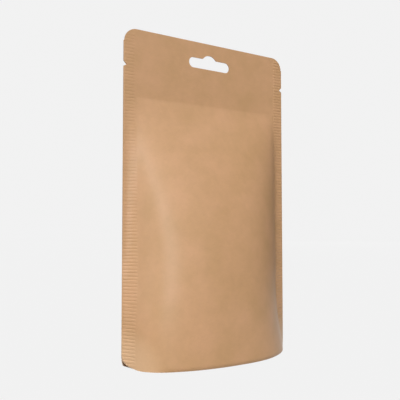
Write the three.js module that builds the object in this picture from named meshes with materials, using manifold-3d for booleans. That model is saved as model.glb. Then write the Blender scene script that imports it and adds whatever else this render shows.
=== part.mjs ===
// A stand-up pouch of kraft paper, shut and filled. A flat header with a hanging
// slot and two tear notches sits over a body that bulges out to an oval base.
// Both side edges are crimped seals, and the base is a gusset folded up inside
// the bottom rim. Filled and shut, the pouch is one solid.
//
// Millimetres, +Z up. The front faces -Y. The origin is the centre of the
// footprint, on the surface that the pouch stands on.

import * as THREE from 'three';
import Module from 'manifold-3d';
import { ConvexGeometry } from 'three/addons/geometries/ConvexGeometry.js';
import { mergeVertices } from 'three/addons/utils/BufferGeometryUtils.js';

// Overall size
const WIDTH = 125;
const HEIGHT = 205;
const BASE_DEPTH = 62;
const EDGE_THICKNESS = 0.6;

// Header: the flat part between the top edge and the crease
const HEADER_HEIGHT = 41.5;
const CREASE_Z = HEIGHT - HEADER_HEIGHT;
const TOP_CORNER_RADIUS = 8.2;
const TOP_CORNER_LEDGE = 0.5;

// Hanging slot: a long slot with a round dome in the middle of its upper side
const SLOT_WIDTH = 32;
const SLOT_HEIGHT = 6.8;
const SLOT_CENTRE_Z = HEIGHT - 13.8;
const SLOT_DOME_RADIUS = 6.1;
const SLOT_DOME_FILLET = 1.5;

// Tear notches, one in each side edge
const NOTCH_DEPTH = 2.1;
const NOTCH_Z = HEIGHT - 22.9;
const NOTCH_ABOVE = 2.1;
const NOTCH_BELOW = 1.1;
const NOTCH_TIP_SHARE = 0.2;

// Side seals and their crimp ribs
const SEAL_WIDTH = 8;
const RIB_COUNT = 101;
const RIB_PITCH = HEIGHT / RIB_COUNT;
const RIB_RELIEF = 0.22;
const RIB_MARGIN = 0.8;
const RIBS_LEFT_OUT_AT_ENDS = 2;

// The seals splay apart towards the base, front from back. Between its full height
// and its end the angle is (1 - t) ^ fall * (1 + hold * t) of the whole.
const SPLAY_ANGLE = THREE.MathUtils.degToRad(48);
const SPLAY = {
  left: { fullZ: 20, endZ: 85, fall: 2, hold: 2 },
  right: { fullZ: 0, endZ: CREASE_Z, fall: 4.5, hold: 0 },
};

// Bulge of the body: its depth falls from the base to the crease
const BULGE_HOLD = 2.91;
const BULGE_TAPER = 1.385;

// Cross section of each half: depth = (1 - s ^ roundness) ^ flatness, from s = 0
// at the crest to s = 1 at the seal. The left half is packed fuller. Three values
// each steer a curve along the body: at the base, halfway up and at the crease.
const CREST_X = [0, -11.8, 14];
const SECTION = {
  left: { roundness: [2, 1.95, 3.5], flatness: [0.48, 0.52, 0.35] },
  right: { roundness: [3, 2.44, 2.8], flatness: [1, 1, 0.35] },
};

// Base: rim, the groove behind the long sides of the rim and the gusset's flat belly
const RIM_THICKNESS = 0.6;
const GROOVE_WALL_SLOPE = 5;
const GROOVE_HEIGHT = 4.5;
const GROOVE_HALF_WIDTH = 50;
const BELLY_HALF_WIDTH = 43;
const BELLY_HALF_DEPTH = 16.5;
const BELLY_TO_GROOVE = 1.55;

// Bottom corners, cut back further on the front than on the back, and the gap
// between the splayed seals above the gusset's end
const FRONT_BASE_CORNER = { width: 6.4, height: 8.5, ledge: 0 };
const BACK_BASE_CORNER = { width: 4.6, height: 7, ledge: 0 };
const BASE_CORNER_SPREAD = 6;
const GAP_FLOOR = 0.5;
const GAP_TOP = 14;
const GAP_WALL = 0.7;
const GAP_LENGTH = 10;
const GAP_TAPER = 0.9;

// Mesh density
const BODY_ROWS = 30;
const ROW_CROWDING = 1.15;
const HEADER_ROWS = 3;
const PANEL_COLUMNS_PER_HALF = 10;
const RIM_OFFSETS = [RIM_THICKNESS, 1.3, 2.2, 4.2, 7.5, 11, 14.5];
const RIM_OFFSET_REACH = 17;
const ARC_SEGMENTS = 10;
const GAP_ROWS = 4;
const CUT_MARGIN = 1;

// Looks
const KRAFT_COLOR = 0xc49a6c;
const KRAFT_ROUGHNESS = 0.55;

const HALF_WIDTH = WIDTH / 2;
const HALF_EDGE = EDGE_THICKNESS / 2;
const { clamp, smoothstep } = THREE.MathUtils;

// Half thickness of the filled pouch in the middle of its width.
function bulgeDepth(z) {
  const t = Math.min(z / CREASE_Z, 1);
  return (BASE_DEPTH / 2 - HALF_EDGE) * (1 - t ** BULGE_HOLD) ** BULGE_TAPER;
}

// How far the seal of one side leans out of the middle plane.
function splayAngle(side, z) {
  const { fullZ, endZ, fall, hold } = SPLAY[side];
  const t = clamp((z - fullZ) / (endZ - fullZ), 0, 1);
  return SPLAY_ANGLE * (1 - t) ** fall * (1 + hold * t);
}

// Distance of the seal's inner edge from the middle of the pouch.
function panelReach(side, z) {
  return HALF_WIDTH - SEAL_WIDTH * Math.cos(splayAngle(side, z));
}

// Depth of the splayed seal's inner edge, never more than the bulge allows.
function sealDepth(side, z) {
  return Math.min(SEAL_WIDTH * Math.sin(splayAngle(side, z)), bulgeDepth(z) / 2);
}

// A quadratic curve from the base to the crease, steered by its middle value.
function alongBody([base, middle, top], z) {
  const t = Math.min(z / CREASE_Z, 1);
  return base * (1 - t) ** 2 + 2 * middle * t * (1 - t) + top * t ** 2;
}

// Share of the bulge's depth at s, from 0 at the crest to 1 at the seal.
function sectionShare(side, s, z) {
  const roundness = alongBody(SECTION[side].roundness, z);
  const flatness = alongBody(SECTION[side].flatness, z);
  return (1 - Math.min(s, 1) ** roundness) ** flatness;
}

// A point of the front panel: s runs from -1 at the left seal to 1 at the right.
function panelPoint(s, z) {
  const x = s * panelReach(s < 0 ? 'left' : 'right', z);
  const crest = alongBody(CREST_X, z);
  const side = x < crest ? 'left' : 'right';
  const sign = x < crest ? -1 : 1;
  const fromCrest = sign * (x - crest);
  const share = sectionShare(side, fromCrest / (panelReach(side, z) - sign * crest), z);
  const seal = sealDepth(side, z);
  return new THREE.Vector3(x, -(HALF_EDGE + seal + (bulgeDepth(z) - seal) * share), z);
}

// A point of the front seal: u runs from 0 at the outer edge to SEAL_WIDTH.
function sealPoint(side, u, z, relief) {
  const sign = side === 'left' ? -1 : 1;
  const angle = splayAngle(side, z);
  const depth = HALF_EDGE + sealDepth(side, z) * (u / SEAL_WIDTH) + relief;
  return new THREE.Vector3(sign * (HALF_WIDTH - u * Math.cos(angle)), -depth, z);
}

// Heights of the rows that the smooth columns use, closer together at the base.
function rowHeights() {
  const rows = [];
  for (let i = 0; i <= BODY_ROWS; i++) {
    rows.push(CREASE_Z * (i / BODY_ROWS) ** ROW_CROWDING);
  }
  for (let i = 1; i <= HEADER_ROWS; i++) {
    rows.push(CREASE_Z + HEADER_HEIGHT * (i / HEADER_ROWS));
  }
  return rows;
}

// Columns of the front, from the left edge to the right, as lists of points.
function frontColumns() {
  const rows = rowHeights();
  const columns = [];
  const sealColumns = (side) => [
    smoothSealColumn(side, 0, rows),
    ribbedColumn(side, RIB_MARGIN),
    ribbedColumn(side, SEAL_WIDTH - RIB_MARGIN),
  ];
  columns.push(...sealColumns('left'));
  for (let i = -PANEL_COLUMNS_PER_HALF; i <= PANEL_COLUMNS_PER_HALF; i++) {
    const s = Math.sin((Math.PI / 2) * (i / PANEL_COLUMNS_PER_HALF));
    columns.push(rows.map((z) => panelPoint(s, z)));
  }
  columns.push(...sealColumns('right').reverse());
  return columns;
}

function smoothSealColumn(side, u, rows) {
  return rows.map((z) => sealPoint(side, u, z, 0));
}

// One column through the crimp ribs: a crest and a valley for each rib.
function ribbedColumn(side, u) {
  const column = [];
  for (let i = 0; i <= 2 * RIB_COUNT; i++) {
    const rib = Math.floor(i / 2);
    const isCrest = i % 2 === 1;
    const isRibbed = rib >= RIBS_LEFT_OUT_AT_ENDS && rib < RIB_COUNT - RIBS_LEFT_OUT_AT_ENDS;
    const relief = isCrest && isRibbed ? RIB_RELIEF : 0;
    column.push(sealPoint(side, u, (i * RIB_PITCH) / 2, relief));
  }
  return column;
}

// Height of the underside: the rim stands on the floor, a groove runs behind its
// long sides, and the gusset's belly rests flat.
function undersideHeight(x, offset, depth) {
  if (offset <= RIM_THICKNESS) {
    return 0;
  }
  const y = depth - offset;
  const ring = Math.hypot(x / BELLY_HALF_WIDTH, y / BELLY_HALF_DEPTH);
  const inGroove = 1 - smoothstep(Math.abs(x), BELLY_HALF_WIDTH, GROOVE_HALF_WIDTH);
  const groove = GROOVE_HEIGHT * smoothstep(ring, 1, BELLY_TO_GROOVE) * inGroove;
  const wall = (offset - RIM_THICKNESS) * GROOVE_WALL_SLOPE;
  return Math.min(wall, groove);
}

// One line of the underside, across from the front rim to the back rim.
function undersideLine(frontFoot) {
  const { x } = frontFoot;
  const depth = -frontFoot.y;
  if (depth < 2 * RIM_THICKNESS) {
    return [];
  }
  const scale = Math.min(1, (depth - RIM_THICKNESS) / (RIM_OFFSET_REACH - RIM_THICKNESS));
  const half = RIM_OFFSETS.map((offset) => {
    const inset = RIM_THICKNESS + (offset - RIM_THICKNESS) * scale;
    return new THREE.Vector3(x, inset - depth, undersideHeight(x, inset, depth));
  });
  const middle = new THREE.Vector3(x, 0, undersideHeight(x, depth, depth));
  const farHalf = half.map(mirrorY).reverse();
  return [...half, middle, ...farHalf];
}

function mirrorY(point) {
  return new THREE.Vector3(point.x, -point.y, point.z);
}

// Gathers points and triangles of one closed surface.
class Surface {
  constructor() {
    this.positions = [];
    this.triangles = [];
  }

  // Adds a line of points, keyed by how far along the line each one is.
  addLine(points, keyOf) {
    return points.map((point) => {
      this.positions.push(point.x, point.y, point.z);
      return { index: this.positions.length / 3 - 1, key: keyOf(point) };
    });
  }

  // Fills the strip between two lines that run the same way, left one first.
  stitch(left, right) {
    let i = 0;
    let j = 0;
    while (i < left.length - 1 || j < right.length - 1) {
      const leftNext = i < left.length - 1 ? left[i + 1].key : Infinity;
      const rightNext = j < right.length - 1 ? right[j + 1].key : Infinity;
      if (leftNext < rightNext) {
        this.triangles.push(left[i].index, right[j].index, left[i + 1].index);
        i += 1;
      } else {
        this.triangles.push(left[i].index, right[j].index, right[j + 1].index);
        j += 1;
      }
    }
  }

  toGeometry() {
    const geometry = new THREE.BufferGeometry();
    geometry.setAttribute('position', new THREE.Float32BufferAttribute(this.positions, 3));
    geometry.setIndex(this.triangles);
    return geometry;
  }
}

// The whole skin of the pouch, before the slot, notches and corners are cut.
function pouchSkin() {
  const skin = new Surface();
  const byHeight = (point) => point.z;
  const byDepth = (point) => point.y;
  const frontPoints = frontColumns();
  const front = frontPoints.map((column) => skin.addLine(column, byHeight));
  const back = frontPoints.map((column) => skin.addLine(column.map(mirrorY), byHeight));
  const last = front.length - 1;

  for (let i = 0; i < last; i++) {
    skin.stitch(front[i], front[i + 1]);
    skin.stitch(back[i + 1], back[i]);
  }
  skin.stitch(front[last], back[last]);
  skin.stitch(back[0], front[0]);

  const top = frontPoints.map((column, i) => [front[i].at(-1), back[i].at(-1)]);
  const base = frontPoints.map((column, i) => {
    const inner = skin.addLine(undersideLine(column[0]), byDepth);
    const foot = column[0];
    return [
      { index: front[i][0].index, key: foot.y },
      ...inner,
      { index: back[i][0].index, key: -foot.y },
    ];
  });
  for (let i = 0; i < last; i++) {
    stitchAcross(skin, top[i], top[i + 1]);
    skin.stitch(shareOfLine(base[i + 1]), shareOfLine(base[i]));
  }
  return skin.toGeometry();
}

// Closes the top between two neighbouring columns with two triangles.
function stitchAcross(skin, [frontA, backA], [frontB, backB]) {
  skin.triangles.push(frontA.index, frontB.index, backB.index);
  skin.triangles.push(frontA.index, backB.index, backA.index);
}

// Keys a line by its share of the way across, so lines of unlike length match.
function shareOfLine(line) {
  const start = line[0].key;
  const length = line.at(-1).key - start;
  return line.map(({ index, key }) => ({ index, key: (key - start) / length }));
}

// A prism through the pouch from front to back, with its outline in X and Z.
function throughPrism(shape) {
  const length = 2 * BASE_DEPTH;
  const settings = { depth: length, bevelEnabled: false, curveSegments: ARC_SEGMENTS };
  const prism = new THREE.ExtrudeGeometry(shape, settings);
  prism.rotateX(Math.PI / 2);
  prism.translate(0, length / 2, 0);
  return prism;
}

// A closed solid through outlines in X and Z, each at its own Y, front one first.
function loftThrough(sections) {
  const count = sections[0].outline.length;
  const surface = new Surface();
  for (const { y, outline } of sections) {
    surface.addLine(outline.map((point) => new THREE.Vector3(point.x, y, point.y)), () => 0);
  }
  for (let start = 0; start < count * (sections.length - 1); start += count) {
    for (let i = 0; i < count; i++) {
      const next = (i + 1) % count;
      const [a, b] = [start + i, start + next];
      surface.triangles.push(a, b + count, b, a, a + count, b + count);
    }
  }
  const end = count * (sections.length - 1);
  for (const [a, b, c] of THREE.ShapeUtils.triangulateShape(sections[0].outline, [])) {
    surface.triangles.push(a, b, c, end + a, end + c, end + b);
  }
  return surface.toGeometry();
}

function hangingSlot() {
  const endRadius = SLOT_HEIGHT / 2;
  const endX = SLOT_WIDTH / 2 - endRadius;
  const top = SLOT_CENTRE_Z + endRadius;
  const reach = SLOT_DOME_RADIUS + SLOT_DOME_FILLET;
  const filletZ = top + SLOT_DOME_FILLET;
  const filletX = Math.sqrt(reach ** 2 - (filletZ - SLOT_CENTRE_Z) ** 2);
  const domeAngle = Math.atan2(filletZ - SLOT_CENTRE_Z, filletX);

  const shape = new THREE.Shape();
  shape.moveTo(-endX, top - SLOT_HEIGHT);
  shape.absarc(endX, SLOT_CENTRE_Z, endRadius, -Math.PI / 2, Math.PI / 2, false);
  shape.absarc(filletX, filletZ, SLOT_DOME_FILLET, -Math.PI / 2, Math.PI + domeAngle, true);
  shape.absarc(0, SLOT_CENTRE_Z, SLOT_DOME_RADIUS, domeAngle, Math.PI - domeAngle, false);
  shape.absarc(-filletX, filletZ, SLOT_DOME_FILLET, -domeAngle, -Math.PI / 2, true);
  shape.absarc(-endX, SLOT_CENTRE_Z, endRadius, Math.PI / 2, 1.5 * Math.PI, false);
  return throughPrism(shape);
}

// sign is -1 for the left edge and 1 for the right one.
function tearNotch(sign) {
  const outside = HALF_WIDTH + CUT_MARGIN;
  const tip = HALF_WIDTH - NOTCH_DEPTH;
  const nearTip = tip + NOTCH_DEPTH * NOTCH_TIP_SHARE;
  const slope = (height) => height * (1 + CUT_MARGIN / NOTCH_DEPTH);
  const shape = new THREE.Shape();
  shape.moveTo(sign * outside, NOTCH_Z - slope(NOTCH_BELOW));
  shape.lineTo(sign * outside, NOTCH_Z + slope(NOTCH_ABOVE));
  shape.lineTo(sign * nearTip, NOTCH_Z + NOTCH_ABOVE * NOTCH_TIP_SHARE);
  const lowerTipZ = NOTCH_Z - NOTCH_BELOW * NOTCH_TIP_SHARE;
  shape.quadraticCurveTo(sign * tip, NOTCH_Z, sign * nearTip, lowerTipZ);
  return throughPrism(shape);
}

// Outline of what a corner rounded to an ellipse quarter loses. The arc ends short
// of the side edge by ledge; up is 1 for a top corner and -1 for a bottom one.
function cornerOutline(sign, up, { width, height, ledge }) {
  const outside = HALF_WIDTH + CUT_MARGIN;
  const cornerZ = up > 0 ? HEIGHT : 0;
  const centreX = HALF_WIDTH - ledge - width;
  const centreZ = cornerZ - up * height;
  const outline = [new THREE.Vector2(sign * outside, centreZ)];
  for (let i = 0; i <= ARC_SEGMENTS; i++) {
    const angle = (i / ARC_SEGMENTS) * (Math.PI / 2);
    const x = centreX + width * Math.cos(angle);
    outline.push(new THREE.Vector2(sign * x, centreZ + up * height * Math.sin(angle)));
  }
  outline.push(new THREE.Vector2(sign * centreX, cornerZ + up * CUT_MARGIN));
  outline.push(new THREE.Vector2(sign * outside, cornerZ + up * CUT_MARGIN));
  return THREE.ShapeUtils.isClockWise(outline) ? outline.reverse() : outline;
}

function topCornerWaste(sign) {
  const arc = { width: TOP_CORNER_RADIUS, height: TOP_CORNER_RADIUS, ledge: TOP_CORNER_LEDGE };
  return throughPrism(new THREE.Shape(cornerOutline(sign, 1, arc)));
}

function baseCornerWaste(sign) {
  const front = cornerOutline(sign, -1, FRONT_BASE_CORNER);
  const back = cornerOutline(sign, -1, BACK_BASE_CORNER);
  return loftThrough([
    { y: -BASE_DEPTH, outline: front },
    { y: -BASE_CORNER_SPREAD, outline: front },
    { y: BASE_CORNER_SPREAD, outline: back },
    { y: BASE_DEPTH, outline: back },
  ]);
}

// The gap between the splayed seals of one side, above the gusset's end.
function sealGap(side) {
  const sign = side === 'left' ? -1 : 1;
  const points = [];
  for (let row = 0; row <= GAP_ROWS; row++) {
    const rise = row / GAP_ROWS;
    const z = GAP_FLOOR + (GAP_TOP - GAP_FLOOR) * rise;
    const slope = Math.tan(splayAngle(side, z));
    const shrink = Math.sqrt(1 - GAP_TAPER * rise ** 2);
    const start = GAP_WALL / slope;
    const widest = start + (SEAL_WIDTH * Math.cos(SPLAY_ANGLE) - start) * shrink;
    const end = widest + (GAP_LENGTH - widest) * shrink;
    const half = (widest - start) * slope;
    points.push(new THREE.Vector3(sign * (HALF_WIDTH - start), 0, z));
    for (const y of [-half, half]) {
      points.push(new THREE.Vector3(sign * (HALF_WIDTH - widest), y, z));
      points.push(new THREE.Vector3(sign * (HALF_WIDTH - end), y / 2, z));
    }
  }
  return new ConvexGeometry(points);
}

function cutters() {
  const all = [hangingSlot(), sealGap('left'), sealGap('right')];
  for (const sign of [-1, 1]) {
    all.push(tearNotch(sign));
    all.push(topCornerWaste(sign));
    all.push(baseCornerWaste(sign));
  }
  return all;
}

// Solid modelling: three.js geometry in, three.js geometry out.
function toSolid(wasm, geometry) {
  const bare = geometry.clone();
  bare.deleteAttribute('normal');
  bare.deleteAttribute('uv');
  const merged = mergeVertices(bare);
  const mesh = new wasm.Mesh({
    numProp: 3,
    vertProperties: new Float32Array(merged.attributes.position.array),
    triVerts: new Uint32Array(merged.index.array),
  });
  return new wasm.Manifold(mesh);
}

function toGeometry(solid) {
  const mesh = solid.getMesh();
  const geometry = new THREE.BufferGeometry();
  geometry.setAttribute('position', new THREE.BufferAttribute(mesh.vertProperties, 3));
  geometry.setIndex(new THREE.BufferAttribute(mesh.triVerts, 1));
  geometry.computeVertexNormals();
  return geometry;
}

function kraftPouch(wasm) {
  let solid = toSolid(wasm, pouchSkin());
  for (const cutter of cutters()) {
    solid = solid.subtract(toSolid(wasm, cutter));
  }
  const kraft = new THREE.MeshStandardMaterial({
    color: KRAFT_COLOR,
    roughness: KRAFT_ROUGHNESS,
    metalness: 0,
  });
  const mesh = new THREE.Mesh(toGeometry(solid), kraft);
  mesh.name = 'pouch';
  return mesh;
}

const wasm = await Module();
wasm.setup();

const pouch = new THREE.Group();
pouch.add(kraftPouch(wasm));

export default pouch;
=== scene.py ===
"""A stand-up kraft paper pouch, shut and filled, in soft studio light.

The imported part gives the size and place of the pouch. This script gives it its
looks: a fine mesh with crimp ribs, a crease, soft folds and a gusseted base, and
a kraft paper material.
"""

import math

import bpy
import numpy as np
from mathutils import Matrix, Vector


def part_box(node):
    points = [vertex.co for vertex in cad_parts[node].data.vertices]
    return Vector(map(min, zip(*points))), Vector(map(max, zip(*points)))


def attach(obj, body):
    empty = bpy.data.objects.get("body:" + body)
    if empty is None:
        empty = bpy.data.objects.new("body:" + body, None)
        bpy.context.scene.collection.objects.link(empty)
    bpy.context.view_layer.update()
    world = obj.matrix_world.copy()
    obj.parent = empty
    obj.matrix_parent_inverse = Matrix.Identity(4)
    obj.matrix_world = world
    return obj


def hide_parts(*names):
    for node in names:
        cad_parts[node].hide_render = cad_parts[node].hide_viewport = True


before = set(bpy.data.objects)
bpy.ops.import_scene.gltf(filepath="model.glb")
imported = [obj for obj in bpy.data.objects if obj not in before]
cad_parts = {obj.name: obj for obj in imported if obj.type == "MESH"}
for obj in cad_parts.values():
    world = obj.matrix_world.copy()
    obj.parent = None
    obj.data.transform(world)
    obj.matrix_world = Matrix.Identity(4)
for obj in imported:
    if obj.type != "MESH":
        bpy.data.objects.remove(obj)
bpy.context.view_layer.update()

MM = 0.001

# Overall size, read from the frame
low, high = (Vector(corner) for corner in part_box("pouch"))
WIDTH = high.x - low.x
DEPTH = high.y - low.y
HEIGHT = high.z - low.z
HALF_WIDTH = WIDTH / 2
PAPER_EDGE = 0.6 * MM
HALF_EDGE = PAPER_EDGE / 2

# Header
CREASE_Z = HEIGHT - 41.5 * MM
CREASE_DEPTH = 0.03 * MM
CREASE_HALF_HEIGHT = 0.9 * MM
CREASE_END_FADE = 4 * MM
TOP_CORNER = {"width": 8.2 * MM, "height": 8.2 * MM, "ledge": 0.5 * MM}
SLOT_WIDTH = 32 * MM
SLOT_HEIGHT = 6.8 * MM
SLOT_CENTRE_Z = HEIGHT - 13.8 * MM
SLOT_DOME_RADIUS = 6.1 * MM
SLOT_DOME_FILLET = 1.5 * MM
NOTCH_DEPTH = 2.1 * MM
NOTCH_Z = HEIGHT - 22.9 * MM
NOTCH_ABOVE = 2.1 * MM
NOTCH_BELOW = 1.1 * MM
NOTCH_TIP_SHARE = 0.2

# Side seals
SEAL_WIDTH = 8 * MM
RIB_COUNT = 101
RIB_PITCH = HEIGHT / RIB_COUNT
RIB_SHIFT = {"left": 0.68 * RIB_PITCH, "right": 0.08 * RIB_PITCH}
RIB_RELIEF = 0.22 * MM
RIB_GROOVE_HALF_WIDTH = 0.3 * MM
RIB_FADE_HEIGHT = 4 * MM
RIB_OUTER_FADE = 0.9 * MM
RIB_INNER_FADE = 1.2 * MM
# Strength of the ribs at the base and at the top, and how soon it falls off upwards
RIB_STRENGTH = {"left": (1.75, 0.4), "right": (1.0, 0.85)}
RIB_STRENGTH_FALL = 4
# The seals lean out by this angle up to full_z, and then less and less up to end_z
SPLAY_ANGLE = math.radians(48)
SPLAY = {
    "left": {"full_z": 20 * MM, "end_z": 85 * MM, "fall": 2, "hold": 2},
    "right": {"full_z": 0.0, "end_z": CREASE_Z, "fall": 4.5, "hold": 0},
}

# Body: exponents for how long its bulge stays full upwards and how it tapers to the crease
BULGE_HOLD = 2.91
BULGE_TAPER = 1.385
# Cross section at the base and at the crease, with a value between that steers the change
# from one to the other: where its crest lies, and each half's shape
CREST_X = (0.0, -11.8 * MM, 14 * MM)
ROUNDNESS = {"left": (2.0, 1.95, 3.5), "right": (3.0, 2.44, 2.8)}
FLATNESS = {"left": (0.48, 0.52, 0.35), "right": (1.0, 1.0, 0.35)}
# Radii of the blur that softens the folds, and after how many radii it is cut off
FOLD_SOFTNESS = {"tight": 2.2 * MM, "loose": 6 * MM}
BLUR_REACH = 3
# The folds turn loose over this distance left of the middle, by these shares at the base
# and at the crease
LOOSE_SPAN = HALF_WIDTH / 2
LOOSE_SHARE = (0.3, 0.9)
# The outer edge of the seals and the crease stay crisp, and the blur sets in over this
# distance from them
CRISP_REACH = 6.4 * MM
RELIEF_STEP = 0.5 * MM
# The right fold strays inwards over its lower part
FOLD_STRAY = {"left": 0.0, "right": 1.2 * MM}
FOLD_STRAY_RISE = (5 * MM, 25 * MM)
FOLD_STRAY_FALL = (40 * MM, 62 * MM)

# Base: the rim on the floor, whose wall rolls in, and the distances from the middle over
# which the roll fades out
RIM_THICKNESS = 0.6 * MM
RIM_ROLL = 0.8 * MM
RIM_ROLL_HEIGHT = 2.6 * MM
RIM_ROLL_END = (36 * MM, 52 * MM)
# Underside: a groove behind the rim, and the flat belly of the gusset
GROOVE_WALL_SLOPE = 5
GROOVE_HEIGHT = 4.5 * MM
GROOVE_HALF_WIDTH = 50 * MM
BELLY_HALF_WIDTH = 43 * MM
BELLY_HALF_DEPTH = 16.5 * MM
BELLY_TO_GROOVE = 1.55
# Bottom corners, and the gap between the splayed seals there
FRONT_BASE_CORNER = {"width": 7.4 * MM, "height": 10.2 * MM, "ledge": 0.0}
BACK_BASE_CORNER = {
    "left": {"width": 4.6 * MM, "height": 7 * MM, "ledge": 0.0},
    "right": {"width": 5.6 * MM, "height": 8.6 * MM, "ledge": 0.0},
}
BASE_CORNER_SPREAD = 6 * MM
GAP_FLOOR = 0.4 * MM
GAP_TOP = 14 * MM
GAP_WALL = 0.6 * MM
GAP_LENGTH = 10 * MM
GAP_TAPER = 0.9
GAP_ROWS = 6

# Cutters reach this far past the pouch
CUT_MARGIN = 1 * MM

# Mesh density: rows on each rib in shares of its pitch, rows and columns elsewhere
RIB_ROWS = [0, 0.06, 0.12, 0.2, 0.34, 0.5, 0.66, 0.8, 0.88, 0.94]
PANEL_ROWS = 256
RIM_ROWS = [z * MM for z in (0, 0.2, 0.45, 0.75, 1.1, 1.5, 2.0)]
PANEL_COLUMNS_PER_HALF = 34
SEAL_OFFSETS = [u * MM for u in (0, 0.25, 0.6, 1.2, 2.4, 4, 5.6, 6.6, 7.2, 7.6)]
RIM_OFFSETS = [u * MM for u in (0.6, 0.9, 1.4, 2, 3, 4.5, 6.5, 9, 12, 15)]
RIM_OFFSET_REACH = 17 * MM
ARC_STEPS = 20
NOTCH_TIP_STEPS = 6
# Angle between faces from which their edge is shaded sharp
SHARP_ANGLE = math.radians(38)

# Sign of x on each side, and the step from the front to its mirror image at the back
SIGN = {"left": -1, "right": 1}
MIRROR_Y = np.array([1, -1, 1])


def smoothstep(x, start, end):
    t = np.clip((x - start) / (end - start), 0, 1)
    return t * t * (3 - 2 * t)


# ---------------------------------------------------------------- pouch form


def bulge_depth(z):
    """Half thickness of the filled pouch in the middle of its width."""
    t = np.clip(z / CREASE_Z, 0, 1)
    return (DEPTH / 2 - HALF_EDGE) * (1 - t**BULGE_HOLD) ** BULGE_TAPER


def splay_angle(side, z):
    """How far the seal of one side leans out of the middle plane."""
    splay = SPLAY[side]
    t = np.clip((z - splay["full_z"]) / (splay["end_z"] - splay["full_z"]), 0, 1)
    return SPLAY_ANGLE * (1 - t) ** splay["fall"] * (1 + splay["hold"] * t)


def panel_reach(side, z):
    """How far the panel between the seals reaches from the middle."""
    return HALF_WIDTH - SEAL_WIDTH * np.cos(splay_angle(side, z))


def seal_depth(side, z):
    """How far out of the middle plane the inner edge of a seal stands."""
    return np.minimum(SEAL_WIDTH * np.sin(splay_angle(side, z)), bulge_depth(z) / 2)


def along_body(values, z):
    """A quadratic curve from the base to the crease, steered by its middle value."""
    t = np.clip(z / CREASE_Z, 0, 1)
    base, middle, top = values
    return base * (1 - t) ** 2 + 2 * middle * t * (1 - t) + top * t**2


def section_share(side, s, z):
    """Share of the bulge's depth, from 1 at s = 0 in the middle to 0 at the seal."""
    roundness = along_body(ROUNDNESS[side], z)
    flatness = along_body(FLATNESS[side], z)
    return np.clip(1 - s**roundness, 0, 1) ** flatness


def fold_stray(side, z):
    """How far the fold beside a seal strays inwards."""
    rise = smoothstep(z, *FOLD_STRAY_RISE)
    fall = 1 - smoothstep(z, *FOLD_STRAY_FALL)
    return FOLD_STRAY[side] * rise * fall


def half_section(side, x, z):
    """Depth of the front at distance x from the middle, towards one side."""
    reach = panel_reach(side, z) - fold_stray(side, z)
    seal = seal_depth(side, z)
    crest = along_body(CREST_X, z) * SIGN[side]
    s = np.clip((x - crest) / (reach - crest), 0, 1)
    on_panel = seal + (bulge_depth(z) - seal) * section_share(side, s, z)
    on_seal = seal * np.clip((HALF_WIDTH - x) / (HALF_WIDTH - reach), 0, 1)
    return np.where(x < reach, on_panel, on_seal)


def blurred(field, step, radius):
    """The field smoothed by a Gaussian along both axes."""
    reach = int(BLUR_REACH * radius / step)
    offsets = np.arange(-reach, reach + 1)
    kernel = np.exp(-0.5 * (offsets * step / radius) ** 2)
    kernel /= kernel.sum()
    for axis in (1, 0):
        pad = [(0, 0), (0, 0)]
        pad[axis] = (reach, reach)
        padded = np.pad(field, pad, mode="edge")
        field = sum(
            weight * np.take(padded, np.arange(field.shape[axis]) + k, axis=axis)
            for k, weight in enumerate(kernel)
        )
    return field


class Relief:
    """Depth of the front over x and z, with its folds softened, read by interpolation."""

    def __init__(self):
        self.x = np.arange(-HALF_WIDTH, HALF_WIDTH + RELIEF_STEP / 2, RELIEF_STEP)
        self.z = np.arange(0, HEIGHT + RELIEF_STEP / 2, RELIEF_STEP)
        x, z = np.meshgrid(self.x, self.z)
        left = half_section("left", -x, z)
        right = half_section("right", x, z)
        sharp = np.where(x < along_body(CREST_X, z), left, right)
        tight = blurred(sharp, RELIEF_STEP, FOLD_SOFTNESS["tight"])
        loose = blurred(sharp, RELIEF_STEP, FOLD_SOFTNESS["loose"])
        base, top = LOOSE_SHARE
        looseness = smoothstep(-x, 0, LOOSE_SPAN) * (base + (top - base) * z / CREASE_Z)
        soft = tight + (loose - tight) * looseness
        edge = smoothstep(HALF_WIDTH - np.abs(x), 0, CRISP_REACH)
        body = smoothstep(CREASE_Z - z, 0, CRISP_REACH)
        self.depth = sharp + (soft - sharp) * edge * body

    @staticmethod
    def cell(places, grid):
        """The cell of the grid that each place lies in, and its share of the way across."""
        position = (places - grid[0]) / RELIEF_STEP
        index = np.clip(position.astype(int), 0, len(grid) - 2)
        return index, np.clip(position - index, 0, 1)

    def __call__(self, x, z):
        i, share_x = self.cell(x, self.x)
        j, share_z = self.cell(z, self.z)
        d = self.depth
        lower = d[j, i] * (1 - share_x) + d[j, i + 1] * share_x
        upper = d[j + 1, i] * (1 - share_x) + d[j + 1, i + 1] * share_x
        return lower * (1 - share_z) + upper * share_z


def rib_relief(side, u, z):
    """Crimp ribs across a seal, u from the outer edge inwards."""
    from_groove = np.abs(((z - RIB_SHIFT[side]) / RIB_PITCH + 0.5) % 1 - 0.5) * RIB_PITCH
    rise = 1 - np.exp(-((from_groove / RIB_GROOVE_HALF_WIDTH) ** 2))
    across = smoothstep(u, 0, RIB_OUTER_FADE) * smoothstep(SEAL_WIDTH - u, 0, RIB_INNER_FADE)
    ends = smoothstep(z, 0, RIB_FADE_HEIGHT) * smoothstep(HEIGHT - z, 0, RIB_FADE_HEIGHT)
    base, top = RIB_STRENGTH[side]
    strength = top + (base - top) * (1 - z / HEIGHT) ** RIB_STRENGTH_FALL
    return RIB_RELIEF * strength * rise * across * ends


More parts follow.
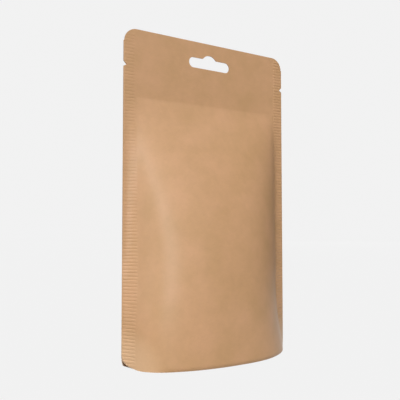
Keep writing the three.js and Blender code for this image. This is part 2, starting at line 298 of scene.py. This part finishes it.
def crease_groove(x, z):
    """The pressed line that parts the header from the body."""
    across = smoothstep(HALF_WIDTH - SEAL_WIDTH - np.abs(x), 0, CREASE_END_FADE)
    return -CREASE_DEPTH * np.exp(-(((z - CREASE_Z) / CREASE_HALF_HEIGHT) ** 2)) * across


def rim_roll(x, z):
    """How far the wall rolls inwards where it meets the floor, away from the corners."""
    roll = RIM_ROLL * np.clip(1 - z / RIM_ROLL_HEIGHT, 0, 1) ** 2
    return roll * (1 - smoothstep(np.abs(x), *RIM_ROLL_END))


def seal_column(relief, side, u, z):
    """One upright line of points on a seal."""
    x = SIGN[side] * (HALF_WIDTH - u * np.cos(splay_angle(side, z)))
    depth = HALF_EDGE + relief(x, z) + rib_relief(side, u, z)
    return np.stack([x, depth, z], axis=1)


def panel_column(relief, s, z):
    """One upright line of points between the seals, s from -1 to 1."""
    side = "left" if s < 0 else "right"
    x = s * panel_reach(side, z)
    depth = HALF_EDGE + relief(x, z) + crease_groove(x, z) - rim_roll(x, z)
    return np.stack([x, depth, z], axis=1)


def seal_heights(side):
    """Heights of the points on a seal, close together in the grooves between ribs."""
    shares = [rib + row for rib in range(-1, RIB_COUNT) for row in RIB_ROWS]
    heights = [RIB_SHIFT[side] + share * RIB_PITCH for share in shares]
    return np.array([0, *(z for z in heights if 0 < z < HEIGHT), HEIGHT])


def front_columns():
    """Upright lines of points over the front, from left to right."""
    relief = Relief()
    panel_z = np.linspace(RIM_ROLL_HEIGHT, HEIGHT, PANEL_ROWS + 1)
    panel_z = np.concatenate([RIM_ROWS, panel_z])
    seal_z = seal_heights("left")
    columns = [seal_column(relief, "left", u, seal_z) for u in SEAL_OFFSETS]
    for i in range(-PANEL_COLUMNS_PER_HALF, PANEL_COLUMNS_PER_HALF + 1):
        s = math.sin(math.pi / 2 * i / PANEL_COLUMNS_PER_HALF)
        columns.append(panel_column(relief, s, panel_z))
    seal_z = seal_heights("right")
    columns += [seal_column(relief, "right", u, seal_z) for u in reversed(SEAL_OFFSETS)]
    return [column * MIRROR_Y for column in columns]


def underside_height(x, y, offset):
    """Rim on the floor, a groove behind it, and the flat belly of the gusset."""
    ring = math.hypot(x / BELLY_HALF_WIDTH, y / BELLY_HALF_DEPTH)
    groove = GROOVE_HEIGHT * float(smoothstep(ring, 1, BELLY_TO_GROOVE))
    groove *= 1 - float(smoothstep(abs(x), BELLY_HALF_WIDTH, GROOVE_HALF_WIDTH))
    wall = max(0.0, offset - RIM_THICKNESS) * GROOVE_WALL_SLOPE
    return min(wall, groove)


def underside_line(foot):
    """Points of the underside across from the front rim to the back rim."""
    x, depth = float(foot[0]), -float(foot[1])
    # Near the seals the base is too narrow for a groove.
    if depth < 2 * RIM_THICKNESS:
        return []
    scale = min(1, (depth - RIM_THICKNESS) / (RIM_OFFSET_REACH - RIM_THICKNESS))
    insets = [RIM_THICKNESS + (offset - RIM_THICKNESS) * scale for offset in RIM_OFFSETS]
    front = [(x, inset - depth, underside_height(x, depth - inset, inset)) for inset in insets]
    middle = (x, 0.0, underside_height(x, 0.0, depth))
    back = [(x, -y, z) for x, y, z in reversed(front)]
    return [*front, middle, *back]


class Surface:
    """Points and triangles of one closed surface."""

    def __init__(self):
        self.points = []
        self.triangles = []

    def add_line(self, points, keys):
        """Adds a line of points. Returns their indices, each with its place along the line."""
        start = len(self.points)
        self.points.extend(map(tuple, points))
        return [(start + k, float(key)) for k, key in enumerate(keys)]

    def stitch(self, left, right):
        """Fills the strip between two lines that run the same way, left one first."""
        i = j = 0
        while i < len(left) - 1 or j < len(right) - 1:
            left_next = left[i + 1][1] if i < len(left) - 1 else math.inf
            right_next = right[j + 1][1] if j < len(right) - 1 else math.inf
            if left_next < right_next:
                self.triangles.append((left[i][0], right[j][0], left[i + 1][0]))
                i += 1
            else:
                self.triangles.append((left[i][0], right[j][0], right[j + 1][0]))
                j += 1


def share_of_line(line):
    """The line with each point's place as a share of the line's length."""
    start = line[0][1]
    length = line[-1][1] - start
    return [(index, (key - start) / length) for index, key in line]


def pouch_skin():
    """The whole skin of the pouch, before the slot, notches and corners are cut."""
    skin = Surface()
    front_points = front_columns()
    back_points = [column * MIRROR_Y for column in front_points]
    front = [skin.add_line(column, column[:, 2]) for column in front_points]
    back = [skin.add_line(column, column[:, 2]) for column in back_points]
    last = len(front) - 1
    for i in range(last):
        skin.stitch(front[i], front[i + 1])
        skin.stitch(back[i + 1], back[i])
        (fa, _), (fb, _) = front[i][-1], front[i + 1][-1]
        (ba, _), (bb, _) = back[i][-1], back[i + 1][-1]
        skin.triangles += [(fa, fb, bb), (fa, bb, ba)]
    skin.stitch(front[last], back[last])
    skin.stitch(back[0], front[0])

    base = []
    for i, column in enumerate(front_points):
        inner = underside_line(column[0])
        line = skin.add_line(inner, [y for _, y, _ in inner])
        foot_y = float(column[0][1])
        line = [(front[i][0][0], foot_y), *line, (back[i][0][0], -foot_y)]
        base.append(share_of_line(line))
    for i in range(last):
        skin.stitch(base[i + 1], base[i])
    return skin


# ---------------------------------------------------------------- cut-outs


def arc(cx, cz, radius, start, end):
    angles = np.linspace(start, end, ARC_STEPS + 1)
    return [(cx + radius * math.cos(a), cz + radius * math.sin(a)) for a in angles]


def slot_outline():
    """A long slot with round ends and a dome on top, joined to it by two fillets."""
    end_radius = SLOT_HEIGHT / 2
    end_x = SLOT_WIDTH / 2 - end_radius
    reach = SLOT_DOME_RADIUS + SLOT_DOME_FILLET
    fillet_z = SLOT_CENTRE_Z + end_radius + SLOT_DOME_FILLET
    fillet_x = math.sqrt(reach**2 - (fillet_z - SLOT_CENTRE_Z) ** 2)
    dome = math.atan2(fillet_z - SLOT_CENTRE_Z, fillet_x)
    quarter = math.pi / 2
    return (
        arc(end_x, SLOT_CENTRE_Z, end_radius, -quarter, quarter)
        + arc(fillet_x, fillet_z, SLOT_DOME_FILLET, -quarter, dome - math.pi)
        + arc(0, SLOT_CENTRE_Z, SLOT_DOME_RADIUS, dome, math.pi - dome)
        + arc(-fillet_x, fillet_z, SLOT_DOME_FILLET, -dome, -quarter)
        + arc(-end_x, SLOT_CENTRE_Z, end_radius, quarter, 3 * quarter)
    )


def notch_outline(sign):
    """A tear notch: a wedge with a rounded tip."""
    outside = HALF_WIDTH + CUT_MARGIN
    tip = HALF_WIDTH - NOTCH_DEPTH
    near_tip = tip + NOTCH_DEPTH * NOTCH_TIP_SHARE
    grow = 1 + CUT_MARGIN / NOTCH_DEPTH
    tip_curve = []
    for k in range(NOTCH_TIP_STEPS + 1):
        t = k / NOTCH_TIP_STEPS
        x = near_tip * (1 - t) ** 2 + 2 * tip * t * (1 - t) + near_tip * t**2
        z = NOTCH_TIP_SHARE * (NOTCH_ABOVE * (1 - t) ** 2 - NOTCH_BELOW * t**2)
        tip_curve.append((sign * x, NOTCH_Z + z))
    lower = (sign * outside, NOTCH_Z - NOTCH_BELOW * grow)
    upper = (sign * outside, NOTCH_Z + NOTCH_ABOVE * grow)
    return [lower, upper, *tip_curve]


def corner_outline(sign, up, width, height, ledge):
    """All that lies outside a rounded corner, at the top or the bottom of one side."""
    outside = HALF_WIDTH + CUT_MARGIN
    edge_x = HALF_WIDTH - ledge
    corner_z = HEIGHT if up > 0 else 0.0
    centre_x = edge_x - width
    centre_z = corner_z - up * height
    points = [(sign * outside, centre_z)]
    for i in range(ARC_STEPS + 1):
        angle = math.pi / 2 * i / ARC_STEPS
        x = centre_x + width * math.cos(angle)
        points.append((sign * x, centre_z + up * height * math.sin(angle)))
    points.append((sign * centre_x, corner_z + up * CUT_MARGIN))
    points.append((sign * outside, corner_z + up * CUT_MARGIN))
    return points


def lofted(rings):
    """A closed solid through rings of points, each with as many points as the first."""
    n = len(rings[0])
    points = [point for ring in rings for point in ring]
    faces = [tuple(range(n)), tuple(range(len(points) - 1, len(points) - n - 1, -1))]
    for start in range(0, len(points) - n, n):
        for i in range(n):
            j = (i + 1) % n
            faces.append((start + j, start + i, start + n + i, start + n + j))
    corners = [[Vector(points[i]) for i in face] for face in faces]
    volume = sum(
        a.dot(b.cross(c)) for first, *rest in corners for a, b, c in fan(first, rest)
    )
    if volume < 0:
        faces = [face[::-1] for face in faces]
    return points, faces


def fan(first, rest):
    """The triangles of a face, all from its first corner."""
    return [(first, b, c) for b, c in zip(rest, rest[1:])]


def upright_rings(outlines):
    """Rings of a cutter that runs front to back: outlines of x and z, each at its own y."""
    return [[(x, y, z) for x, z in outline] for y, outline in outlines]


def base_corner_rings(side):
    """The rounded bottom corner, cut back further on the front than on the back."""
    front = corner_outline(SIGN[side], -1, **FRONT_BASE_CORNER)
    back = corner_outline(SIGN[side], -1, **BACK_BASE_CORNER[side])
    spread = BASE_CORNER_SPREAD
    return upright_rings([(-DEPTH, front), (-spread, front), (spread, back), (DEPTH, back)])


def seal_gap_rings(side):
    """The gap between the splayed seals, above the gusset's end on the floor."""
    rings = []
    for row in range(GAP_ROWS + 1):
        rise = row / GAP_ROWS
        z = GAP_FLOOR + (GAP_TOP - GAP_FLOOR) * rise
        slope = math.tan(float(splay_angle(side, z)))
        shrink = math.sqrt(1 - GAP_TAPER * rise**2)
        start = GAP_WALL / slope
        widest = start + (SEAL_WIDTH * math.cos(SPLAY_ANGLE) - start) * shrink
        end = widest + (GAP_LENGTH - widest) * shrink
        half = (widest - start) * slope
        plan = [(start, 0.0), (widest, -half), (end, -half / 2), (end, half / 2), (widest, half)]
        rings.append([(SIGN[side] * (HALF_WIDTH - inwards), y, z) for inwards, y in plan])
    return rings


def cutter_rings():
    """The rings of every cutter: the slot, and on each side the notch, corners and gap."""
    slot = slot_outline()
    cutters = [upright_rings([(-DEPTH, slot), (DEPTH, slot)])]
    for side, sign in SIGN.items():
        for outline in (notch_outline(sign), corner_outline(sign, 1, **TOP_CORNER)):
            cutters.append(upright_rings([(-DEPTH, outline), (DEPTH, outline)]))
        cutters.append(base_corner_rings(side))
        cutters.append(seal_gap_rings(side))
    return cutters


# ---------------------------------------------------------------- objects


def mesh_object(name, points, faces):
    mesh = bpy.data.meshes.new(name)
    mesh.from_pydata(points, [], faces)
    mesh.validate()
    mesh.update()
    obj = bpy.data.objects.new(name, mesh)
    bpy.context.scene.collection.objects.link(obj)
    return obj


def apply_modifiers(obj):
    """Makes what the object's modifiers give its own mesh."""
    graph = bpy.context.evaluated_depsgraph_get()
    mesh = bpy.data.meshes.new_from_object(obj.evaluated_get(graph))
    obj.modifiers.clear()
    obj.data = mesh


def make_pouch(material):
    skin = pouch_skin()
    pouch = mesh_object("kraft_pouch", skin.points, skin.triangles)
    for rings in cutter_rings():
        cutter = mesh_object("cutter", *lofted(rings))
        cut = pouch.modifiers.new("cut", "BOOLEAN")
        cut.operation = "DIFFERENCE"
        cut.solver = "MANIFOLD"
        cut.object = cutter
        apply_modifiers(pouch)
        bpy.data.objects.remove(cutter)
    pouch.data.materials.clear()
    pouch.data.materials.append(material)
    pouch.data.shade_smooth()
    pouch.data.set_sharp_from_angle(angle=SHARP_ANGLE)
    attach(pouch, "root")
    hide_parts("pouch")


# ---------------------------------------------------------------- materials


# Kraft paper: its colours, with a painted sheen that makes the bottom corners lighter and reaches
# so far in and up
KRAFT_LIGHT = (0.622, 0.35, 0.181, 1)
KRAFT_DARK = (0.55, 0.316, 0.148, 1)
KRAFT_PAINTED_SHEEN = (0.68, 0.425, 0.235, 1)
PAINTED_SHEEN_REACH = (18 * MM, 26 * MM)
KRAFT_ROUGHNESS = 0.428
# Its grain: scales in repeats per metre, and strengths
CLOUDS = {"scale": 55, "detail": 3, "roughness": 0.55}
CLOUD_SPAN = (0.3, 0.7)
MOTTLE = {"scale": 260, "detail": 4, "roughness": 0.6}
FIBRES = {"scale": 1, "detail": 2, "roughness": 0.5, "distortion": 0.8}
FIBRE_SCALES = (2600, 2600, 330)
FIBRE_LEAN = math.radians(62)
MOTTLE_STRENGTH = 0.05
FIBRE_STRENGTH = 0.08
BUMP_STRENGTH = 0.25
BUMP_DISTANCE = 0.05 * MM


class Graph:
    """Short ways to add and link shader nodes."""

    def __init__(self, material):
        self.nodes = material.node_tree.nodes
        self.links = material.node_tree.links

    def node(self, kind):
        return self.nodes.new(kind)

    def link(self, source, target):
        self.links.new(source, target)

    def math(self, operation, first, second):
        node = self.node("ShaderNodeMath")
        node.operation = operation
        for socket, value in zip(node.inputs, (first, second)):
            if isinstance(value, (int, float)):
                socket.default_value = value
            else:
                self.link(value, socket)
        return node.outputs[0]

    def noise(self, place, scale, detail, roughness, distortion=0.0):
        node = self.node("ShaderNodeTexNoise")
        node.inputs["Scale"].default_value = scale
        node.inputs["Detail"].default_value = detail
        node.inputs["Roughness"].default_value = roughness
        node.inputs["Distortion"].default_value = distortion
        self.link(place, node.inputs["Vector"])
        return node.outputs[0]

    def fibres(self, place):
        """Two layers of long thin fibres, leaning opposite ways."""
        layers = []
        for lean in (-FIBRE_LEAN, FIBRE_LEAN):
            turn = self.node("ShaderNodeMapping")
            turn.inputs["Rotation"].default_value = (0, lean, 0)
            self.link(place, turn.inputs["Vector"])
            stretch = self.node("ShaderNodeMapping")
            stretch.inputs["Scale"].default_value = FIBRE_SCALES
            self.link(turn.outputs[0], stretch.inputs["Vector"])
            layers.append(self.noise(stretch.outputs[0], **FIBRES))
        return self.math("MULTIPLY", self.math("ADD", *layers), 0.5)

    def ramp(self, value, dark, light, span):
        """A colour between dark and light as the value crosses its span."""
        node = self.node("ShaderNodeValToRGB")
        for stop, position, color in zip(node.color_ramp.elements, span, (dark, light)):
            stop.position = position
            stop.color = color
        self.link(value, node.inputs[0])
        return node.outputs["Color"]

    def mixed(self, share, first, second):
        """The first colour, or the second one where the share is 1."""
        node = self.node("ShaderNodeMix")
        node.data_type = "RGBA"
        self.link(share, node.inputs["Factor"])
        self.link(first, node.inputs["A"])
        node.inputs["B"].default_value = second
        return node.outputs["Result"]

    def near_bottom_corners(self, place, reach):
        """From 1 at the bottom corners of the pouch to 0 at the reach along x and z."""
        split = self.node("ShaderNodeSeparateXYZ")
        self.link(place, split.inputs[0])
        side = self.math("ABSOLUTE", split.outputs["X"], 0)
        inwards = self.math("DIVIDE", self.math("SUBTRACT", HALF_WIDTH, side), reach[0])
        upwards = self.math("DIVIDE", split.outputs["Z"], reach[1])
        distance = self.math("ADD", self.math("POWER", inwards, 2), self.math("POWER", upwards, 2))
        node = self.node("ShaderNodeMapRange")
        node.interpolation_type = "SMOOTHSTEP"
        self.link(distance, node.inputs["Value"])
        node.inputs["To Min"].default_value = 1
        node.inputs["To Max"].default_value = 0
        return node.outputs["Result"]

    def shaded(self, color, value, strength):
        """The colour made lighter or darker by a value that lies around one half."""
        gain = self.math("ADD", self.math("MULTIPLY", value, 2 * strength), 1 - strength)
        node = self.node("ShaderNodeVectorMath")
        node.operation = "SCALE"
        self.link(color, node.inputs[0])
        self.link(gain, node.inputs["Scale"])
        return node.outputs["Vector"]


def new_material(name):
    """A material and the one shader that makes up its surface."""
    material = bpy.data.materials.new(name)
    material.use_nodes = True
    nodes = material.node_tree.nodes
    nodes.clear()
    output = nodes.new("ShaderNodeOutputMaterial")
    shader = nodes.new("ShaderNodeBsdfPrincipled")
    material.node_tree.links.new(shader.outputs[0], output.inputs[0])
    return material, shader


def kraft_material():
    """Brown kraft paper with soft clouds and matted fibres, and a painted sheen at its bottom
    corners.
    """
    material, shader = new_material("kraft_paper")
    graph = Graph(material)
    place = graph.node("ShaderNodeTexCoord").outputs["Object"]

    clouds = graph.noise(place, **CLOUDS)
    mottle = graph.noise(place, **MOTTLE)
    fibres = graph.fibres(place)

    tone = graph.ramp(clouds, KRAFT_DARK, KRAFT_LIGHT, CLOUD_SPAN)
    # Painted sheen: the bottom corners are made lighter and whiter in the colour itself
    tone = graph.mixed(graph.near_bottom_corners(place, PAINTED_SHEEN_REACH), tone, KRAFT_PAINTED_SHEEN)
    tone = graph.shaded(tone, mottle, MOTTLE_STRENGTH)
    tone = graph.shaded(tone, fibres, FIBRE_STRENGTH)
    graph.link(tone, shader.inputs["Base Color"])

    relief = graph.math("ADD", fibres, mottle)
    bump = graph.node("ShaderNodeBump")
    bump.inputs["Strength"].default_value = BUMP_STRENGTH
    bump.inputs["Distance"].default_value = BUMP_DISTANCE
    graph.link(relief, bump.inputs["Height"])
    graph.link(bump.outputs["Normal"], shader.inputs["Normal"])

    shader.inputs["Roughness"].default_value = KRAFT_ROUGHNESS
    return material


# Floor: its grey, how much it glows near the pouch and far away, and over which distances
FLOOR_GREY = 0.004
FLOOR_GLOW = (0.879, 0.885)
FLOOR_GLOW_SPAN = (0.5, 5.0)


def floor_material():
    """A pale floor that looks equally bright near the pouch and far away."""
    material, shader = new_material("pale_floor")
    graph = Graph(material)
    shader.inputs["Base Color"].default_value = (FLOOR_GREY, FLOOR_GREY, FLOOR_GREY, 1)
    shader.inputs["Roughness"].default_value = 1.0
    shader.inputs["Specular IOR Level"].default_value = 0.0
    shader.inputs["Emission Color"].default_value = (1, 1, 1, 1)
    distance = graph.node("ShaderNodeVectorMath")
    distance.operation = "LENGTH"
    graph.link(graph.node("ShaderNodeTexCoord").outputs["Object"], distance.inputs[0])
    glow = graph.node("ShaderNodeMapRange")
    graph.link(distance.outputs["Value"], glow.inputs["Value"])
    for name, value in zip(("From Min", "From Max"), FLOOR_GLOW_SPAN):
        glow.inputs[name].default_value = value
    for name, value in zip(("To Min", "To Max"), FLOOR_GLOW):
        glow.inputs[name].default_value = value
    graph.link(glow.outputs["Result"], shader.inputs["Emission Strength"])
    return material


# ---------------------------------------------------------------- studio

# Camera, with lens and sensor in millimetres
CAMERA_PLACE = (-203.48 * MM, -303.58 * MM, 83.37 * MM)
CAMERA_PITCH = math.radians(2.81)
CAMERA_YAW = math.radians(32.855)
CAMERA_LENS = 50
CAMERA_SENSOR = 36
CAMERA_CLIP_START = 10 * MM


def make_camera():
    data = bpy.data.cameras.new("camera")
    data.lens = CAMERA_LENS
    data.sensor_width = CAMERA_SENSOR
    data.clip_start = CAMERA_CLIP_START
    camera = bpy.data.objects.new("camera", data)
    camera.location = CAMERA_PLACE
    camera.rotation_euler = (math.pi / 2 + CAMERA_PITCH, 0, -CAMERA_YAW)
    bpy.context.scene.collection.objects.link(camera)
    bpy.context.scene.camera = camera


# Soft boxes, all of one size and at one distance from their target: degrees to the left of
# the front, degrees up, and power
BOX_SIDE = 1.1
BOX_DISTANCE = 3.0
BOX_TARGET = Vector((0, 0, 100 * MM))
SOFT_BOXES = {
    "key": (60, 65, 4.6),
    "left": (50, 35, 32.0),
    "low_front": (30, 8, 29.4),
    "low_left": (75, 8, 10.4),
    "front": (10, 35, 10.7),
    "front_right": (-20, 35, 6.3),
    "low_right": (-12, 8, 4.6),
    "top_right": (-60, 60, 11.8),
    "right": (-55, 15, 1.6),
    "back_right": (-135, 12, 44.0),
    "back_left": (100, 20, 8.8),
}
WORLD_LIGHT = 0.112


def make_soft_box(name, azimuth, elevation, power):
    """A square light that the camera doesn't see, turned towards the target."""
    data = bpy.data.lights.new(name, "AREA")
    data.size = BOX_SIDE
    data.energy = power
    light = bpy.data.objects.new(name, data)
    a, e = math.radians(azimuth), math.radians(elevation)
    way = Vector((-math.sin(a) * math.cos(e), -math.cos(a) * math.cos(e), math.sin(e)))
    place = BOX_TARGET + way * BOX_DISTANCE
    light.location = place
    light.rotation_euler = (BOX_TARGET - place).to_track_quat("-Z", "Y").to_euler()
    light.visible_camera = False
    bpy.context.scene.collection.objects.link(light)


def make_lights():
    for name, settings in SOFT_BOXES.items():
        make_soft_box(name, *settings)
    world = bpy.data.worlds.new("world")
    bpy.context.scene.world = world
    world.use_nodes = True
    background = world.node_tree.nodes["Background"]
    background.inputs["Color"].default_value = (1, 1, 1, 1)
    background.inputs["Strength"].default_value = WORLD_LIGHT


# Floor: a round disc inside a wide bowl whose rim rises into a backdrop on all sides, with
# the radii of their rings
NEAR_FLOOR_RADII = (1 * MM, 0.25, 0.5)
FAR_FLOOR_RADII = (0.5, 1.0, 2.0, 4.0, 6.0)
SWEEP_RADIUS = 3.0
SWEEP_STEPS = 12
BACKDROP_HEIGHT = 7.0
FLOOR_SIDES = 96


def turned(name, profile, material):
    """A surface turned about the Z axis from points of radius and height."""
    points, faces = [], []
    for r, z in profile:
        for k in range(FLOOR_SIDES):
            a = 2 * math.pi * k / FLOOR_SIDES
            points.append((r * math.cos(a), r * math.sin(a), z))
    for start in range(0, len(points) - FLOOR_SIDES, FLOOR_SIDES):
        for k in range(FLOOR_SIDES):
            n = (k + 1) % FLOOR_SIDES
            outer = start + FLOOR_SIDES
            faces.append((start + k, outer + k, outer + n, start + n))
    surface = mesh_object(name, points, faces)
    surface.data.materials.append(material)
    surface.data.shade_smooth()
    surface.visible_diffuse = False
    return surface


def make_floor():
    """A floor that the pouch mirrors near by, and a backdrop that it doesn't."""
    material = floor_material()
    turned("floor", [(r, 0.0) for r in NEAR_FLOOR_RADII], material)
    far = [(r, 0.0) for r in FAR_FLOOR_RADII]
    for i in range(1, SWEEP_STEPS + 1):
        a = math.pi / 2 * i / SWEEP_STEPS
        r = FAR_FLOOR_RADII[-1] + SWEEP_RADIUS * math.sin(a)
        far.append((r, SWEEP_RADIUS * (1 - math.cos(a))))
    far.append((FAR_FLOOR_RADII[-1] + SWEEP_RADIUS, BACKDROP_HEIGHT))
    turned("backdrop", far, material).visible_glossy = False


make_camera()
make_lights()
make_floor()
make_pouch(kraft_material())
bpy.context.scene.view_settings.view_transform = "Standard"
